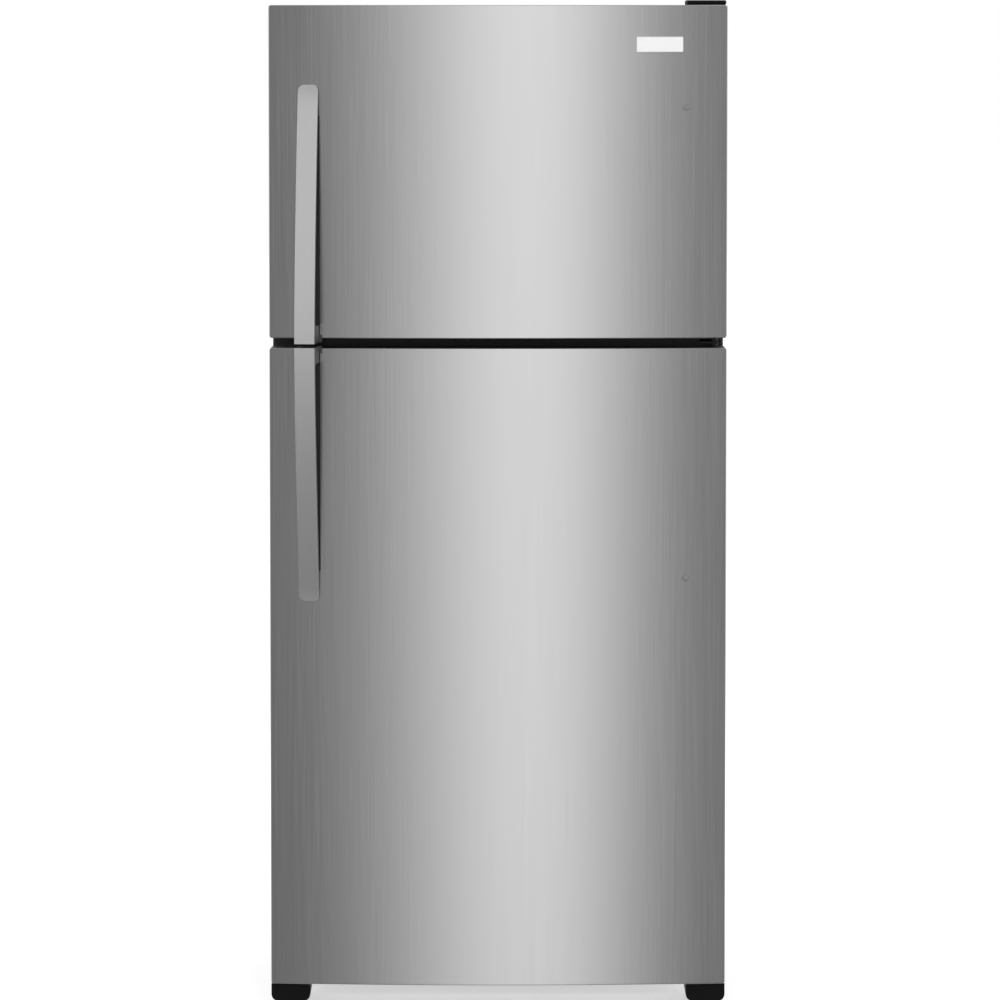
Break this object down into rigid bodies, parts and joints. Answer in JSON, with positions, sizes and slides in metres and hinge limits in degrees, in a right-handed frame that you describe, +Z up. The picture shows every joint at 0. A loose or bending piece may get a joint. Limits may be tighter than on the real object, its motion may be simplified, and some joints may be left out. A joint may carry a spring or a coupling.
{
  "type": "top freezer refrigerator",
  "caption": "Free-standing upright refrigerator with a freezer compartment above, two arched steel doors, curved bar handles and black cabinet sides.",
  "frame": {"origin": "on the floor, under the middle of the whole appliance's outline", "axes": "+Z up, -Y the way the doors face, +X towards the hinge side"},
  "size_m": [0.757, 0.7853, 1.67],
  "materials": {
    "stainless": "satin",
    "black_steel": "satin",
    "zinc_steel": "satin",
    "condenser_paint": "satin",
    "fin_aluminium": "satin",
    "badge_plate": "satin",
    "foam": "matte",
    "white_plastic": "satin",
    "clear_plastic": "gloss",
    "shelf_glass": "gloss",
    "grey_plastic": "matte",
    "black_plastic": "matte",
    "fan_plastic": "satin",
    "gasket_vinyl": "matte",
    "fibreboard": "matte",
    "roller_nylon": "matte"
  },
  "bodies": {
    "cabinet": {"cabinet_wrapper": "black_steel", "cabinet_insulation": "foam", "back_panel": "black_steel", "freezer_liner": "white_plastic", "fridge_liner": "white_plastic", "top_hinge": "zinc_steel", "top_hinge_cover": "black_plastic", "center_hinge": "black_steel", "bottom_hinge": "zinc_steel", "base_frame": "black_steel", "foot_cover_left": "black_plastic", "foot_cover_right": "black_plastic", "compressor": "black_steel", "condenser_coil": "condenser_paint", "condenser_fan_motor": "black_plastic", "rear_access_cover": "fibreboard", "evaporator_coil": "fin_aluminium", "evaporator_fan_motor": "black_plastic", "evaporator_cover": "white_plastic", "freezer_shelf": "white_plastic", "control_housing": "white_plastic", "lamp": "clear_plastic", "shelf_upper": "shelf_glass", "shelf_lower": "shelf_glass", "crisper_cover": "shelf_glass"},
    "freezer_door": {"freezer_door_panel": "stainless", "freezer_door_insulation": "foam", "freezer_door_top_cap": "grey_plastic", "freezer_door_bottom_cap": "grey_plastic", "freezer_door_liner": "white_plastic", "freezer_door_gasket": "gasket_vinyl", "freezer_handle": "stainless", "freezer_hole_plug": "grey_plastic", "freezer_bin_lower": "clear_plastic", "freezer_bin_upper": "clear_plastic", "badge": "badge_plate"},
    "fridge_door": {"fridge_door_panel": "stainless", "fridge_door_insulation": "foam", "fridge_door_top_cap": "grey_plastic", "fridge_door_bottom_cap": "grey_plastic", "fridge_door_liner": "white_plastic", "fridge_door_gasket": "gasket_vinyl", "fridge_handle": "stainless", "fridge_hole_plug": "grey_plastic", "fridge_bin_lower": "clear_plastic", "fridge_bin_middle": "clear_plastic", "dairy_box": "clear_plastic"},
    "dairy_flap": {"dairy_flap": "clear_plastic"},
    "crisper_drawer_left": {"crisper_drawer_left": "clear_plastic"},
    "crisper_drawer_right": {"crisper_drawer_right": "clear_plastic"},
    "light_switch": {"light_switch": "white_plastic"},
    "fridge_dial": {"fridge_dial": "white_plastic"},
    "freezer_dial": {"freezer_dial": "white_plastic"},
    "evaporator_fan": {"evaporator_fan_blade": "fan_plastic"},
    "condenser_fan": {"condenser_fan_blade": "fan_plastic"},
    "leveling_leg_left": {"leveling_leg_left": "zinc_steel"},
    "leveling_leg_right": {"leveling_leg_right": "zinc_steel"},
    "rear_roller_left": {"rear_roller_left": "roller_nylon"},
    "rear_roller_right": {"rear_roller_right": "roller_nylon"}
  },
  "joints": [
    {"name": "freezer_door_swing", "type": "hinge", "parent": "cabinet", "child": "freezer_door", "pos_m": [0.3585, -0.292, 1.1127], "axis": [0, 0, 1], "range_deg": [0, 130]},
    {"name": "fridge_door_swing", "type": "hinge", "parent": "cabinet", "child": "fridge_door", "pos_m": [0.3585, -0.292, 0.0345], "axis": [0, 0, 1], "range_deg": [0, 130]},
    {"name": "dairy_flap_lift", "type": "hinge", "parent": "fridge_door", "child": "dairy_flap", "pos_m": [0, -0.1575, 1.0035], "axis": [1, 0, 0], "range_deg": [0, 90]},
    {"name": "crisper_left_slide", "type": "slide", "parent": "cabinet", "child": "crisper_drawer_left", "axis": [0, -1, 0], "range_m": [0, 0.2601]},
    {"name": "crisper_right_slide", "type": "slide", "parent": "cabinet", "child": "crisper_drawer_right", "axis": [0, -1, 0], "range_m": [0, 0.2601]},
    {"name": "light_switch_travel", "type": "slide", "parent": "cabinet", "child": "light_switch", "axis": [0, -1, 0], "range_m": [0, 0.0081]},
    {"name": "fridge_dial_turn", "type": "hinge", "parent": "cabinet", "child": "fridge_dial", "pos_m": [-0.075, -0.1, 1.0357], "axis": [0, 1, 0], "range_deg": [-130, 130]},
    {"name": "freezer_dial_turn", "type": "hinge", "parent": "cabinet", "child": "freezer_dial", "pos_m": [0.075, -0.1, 1.0357], "axis": [0, 1, 0], "range_deg": [-130, 130]},
    {"name": "evaporator_fan_spin", "type": "hinge", "parent": "cabinet", "child": "evaporator_fan", "pos_m": [0, 0.281, 1.505], "axis": [0, 1, 0], "continuous": true},
    {"name": "condenser_fan_spin", "type": "hinge", "parent": "cabinet", "child": "condenser_fan", "pos_m": [-0.085, 0.297, 0.14], "axis": [1, 0, 0], "continuous": true},
    {"name": "leveling_leg_left_turn", "type": "hinge", "parent": "cabinet", "child": "leveling_leg_left", "pos_m": [-0.33, -0.231, 0], "axis": [0, 0, 1], "continuous": true},
    {"name": "leveling_leg_right_turn", "type": "hinge", "parent": "cabinet", "child": "leveling_leg_right", "pos_m": [0.33, -0.231, 0], "axis": [0, 0, 1], "continuous": true},
    {"name": "rear_roller_left_spin", "type": "hinge", "parent": "cabinet", "child": "rear_roller_left", "pos_m": [-0.33, 0.342, 0.019], "axis": [1, 0, 0], "continuous": true},
    {"name": "rear_roller_right_spin", "type": "hinge", "parent": "cabinet", "child": "rear_roller_right", "pos_m": [0.33, 0.342, 0.019], "axis": [1, 0, 0], "continuous": true}
  ],
  "couplings": [
    {"joint": "crisper_left_slide", "follows": "fridge_door_swing", "m_per_rad": 0.11459},
    {"joint": "crisper_right_slide", "follows": "fridge_door_swing", "m_per_rad": 0.11459},
    {"joint": "light_switch_travel", "follows": "fridge_door_swing", "m_per_rad": 0.003526}
  ]
}
